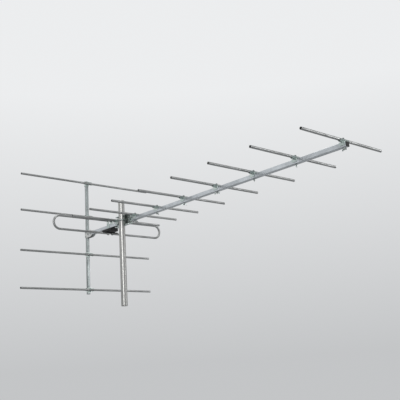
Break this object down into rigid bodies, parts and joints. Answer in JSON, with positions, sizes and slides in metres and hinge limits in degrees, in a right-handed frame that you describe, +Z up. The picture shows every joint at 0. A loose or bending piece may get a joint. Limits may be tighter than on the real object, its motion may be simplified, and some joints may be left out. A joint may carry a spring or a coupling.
{
  "type": "vhf antenna",
  "caption": "Directional rod antenna for the high VHF band: square boom with directors, folded dipole with terminal box, upright bar of reflectors and a short mast.",
  "frame": {"origin": "centre of the mast's foot, on the mast's axis", "axes": "+X forward along the boom towards the directors, +Y to the right of the boom, +Z up along the mast"},
  "size_m": [1.8975, 0.86, 0.787],
  "materials": {
    "square_tube_aluminium": "mill-finish extruded tube, faint lengthwise drawing lines",
    "element_aluminium": "drawn tube, satin grey",
    "zinc_sheet": "zinc-plated pressed sheet steel, faint green-blue passivation",
    "zinc_fasteners": "bright zinc-plated steel",
    "mast_steel": "galvanised steel tube, satin",
    "grey_plastic": "moulded grey plastic",
    "black_plastic": "moulded black plastic, fine grain",
    "seal_rubber": "soft black rubber",
    "board": "green laminate board",
    "ferrite": "dark grey sintered ferrite",
    "copper_wire": "enamelled copper wire",
    "plated_brass": "nickel-plated brass",
    "white_plastic": "white insulator plastic"
  },
  "bodies": {
    "root": {"balun_board": "board", "balun_core": "ferrite", "balun_winding": "copper_wire", "bar_caps": "grey_plastic", "boom": "square_tube_aluminium", "boom_cap": "black_plastic", "box_bolt": "zinc_fasteners", "box_bolt_nut": "zinc_fasteners", "clamp_bolts": "zinc_fasteners", "clamp_bracket": "zinc_sheet", "clamp_washers": "zinc_fasteners", "clamp_wing_nuts": "zinc_fasteners", "coax_socket": "plated_brass", "dipole_bracket": "zinc_sheet", "director_1": "element_aluminium", "director_2": "element_aluminium", "director_3": "element_aluminium", "director_4": "element_aluminium", "director_5": "element_aluminium", "director_6": "element_aluminium", "director_7": "element_aluminium", "director_8": "element_aluminium", "director_bracket_1": "zinc_sheet", "director_bracket_2": "zinc_sheet", "director_bracket_3": "zinc_sheet", "director_bracket_4": "zinc_sheet", "director_bracket_5": "zinc_sheet", "director_bracket_6": "zinc_sheet", "director_bracket_7": "zinc_sheet", "director_bracket_8": "zinc_sheet", "element_bolts": "zinc_fasteners", "element_washers": "zinc_fasteners", "element_wing_nuts": "zinc_fasteners", "folded_dipole": "element_aluminium", "lid_screws": "zinc_fasteners", "lid_seal": "seal_rubber", "mast_tube": "mast_steel", "rear_bolts": "zinc_fasteners", "rear_nuts": "zinc_fasteners", "rear_plate_left": "zinc_sheet", "rear_plate_right": "zinc_sheet", "reflector_1": "element_aluminium", "reflector_2": "element_aluminium", "reflector_3": "element_aluminium", "reflector_4": "element_aluminium", "reflector_bar": "square_tube_aluminium", "reflector_bracket_1": "zinc_sheet", "reflector_bracket_2": "zinc_sheet", "reflector_bracket_3": "zinc_sheet", "reflector_bracket_4": "zinc_sheet", "socket_contact": "plated_brass", "socket_insulator": "white_plastic", "socket_nut": "plated_brass", "terminal_box": "black_plastic", "terminal_box_lid": "black_plastic", "terminal_nuts": "zinc_fasteners", "terminal_screws": "zinc_fasteners", "u_bolt": "zinc_fasteners"}
  },
  "joints": []
}
